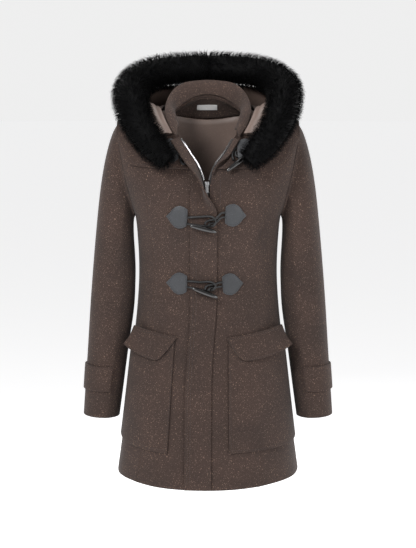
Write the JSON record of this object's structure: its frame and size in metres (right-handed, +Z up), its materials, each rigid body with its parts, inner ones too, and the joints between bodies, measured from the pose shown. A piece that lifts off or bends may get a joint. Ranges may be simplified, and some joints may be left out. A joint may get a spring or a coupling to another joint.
{
  "type": "women's hooded duffle coat",
  "caption": "Knee-length hooded wool duffle coat with fur-edged hood, toggle fastening over a zip, yokes, patch pockets with flaps and cuff tabs, filled out as worn.",
  "frame": {"origin": "middle of the neck, level with the collar seam at the back, where the coat rests on its wearer's shoulders", "axes": "+Z up, -Y the coat's front, +X the viewer's right (the wearer's left)"},
  "size_m": [0.53, 0.3345, 0.8852],
  "materials": {
    "wool": "dark brown mottled coating wool, brushed",
    "lining": "brown twill lining with a soft sheen",
    "fur": "short black fur",
    "leather": "slate grey leather, smooth",
    "cord": "black braided cord",
    "toggle": "black, horn-shaped, polished",
    "tape": "black woven zip tape",
    "zip_metal": "bright nickel",
    "label": "white woven label, blank"
  },
  "bodies": {
    "coat": {"front_side_right": "wool", "front_right": "wool", "back_right": "wool", "front_side_left": "wool", "front_left": "wool", "back_left": "wool", "sleeve_upper_right": "wool", "sleeve_under_right": "wool", "cuff_tab_right": "wool", "sleeve_upper_left": "wool", "sleeve_under_left": "wool", "cuff_tab_left": "wool", "collar": "wool", "placket": "wool", "front_band_left": "wool", "yoke_right": "wool", "pocket_right": "wool", "pocket_flap_right": "wool", "fur_right": "fur", "yoke_left": "wool", "pocket_left": "wool", "pocket_flap_left": "wool", "fur_left": "fur", "neck_facing": "wool", "lining_back": "lining", "label": "label", "hood_right": "wool", "hood_left": "wool", "hood_lining": "lining", "patch_top_right": "leather", "patch_middle_right": "leather", "patch_lower_right": "leather", "patch_top_left": "leather", "patch_middle_left": "leather", "patch_lower_left": "leather", "toggle_top": "toggle", "toggle_middle": "toggle", "toggle_lower": "toggle", "loop_top": "cord", "cord_top_upper": "cord", "cord_top_lower": "cord", "loop_middle": "cord", "cord_middle_upper": "cord", "cord_middle_lower": "cord", "loop_lower": "cord", "cord_lower_upper": "cord", "cord_lower_lower": "cord", "zip_tape_right": "tape", "zip_teeth_right": "zip_metal", "zip_tape_left": "tape", "zip_teeth_left": "zip_metal", "zip_chain": "zip_metal", "zip_slider": "zip_metal", "zip_bail": "zip_metal"},
    "zip_pull": {"zip_pull": "zip_metal"}
  },
  "joints": [
    {"name": "pull_hinge", "type": "hinge", "parent": "coat", "child": "zip_pull", "pos_m": [-0.002, -0.12121, -0.17579], "axis": [-1, 0, 0], "range_deg": [0, 150]}
  ]
}
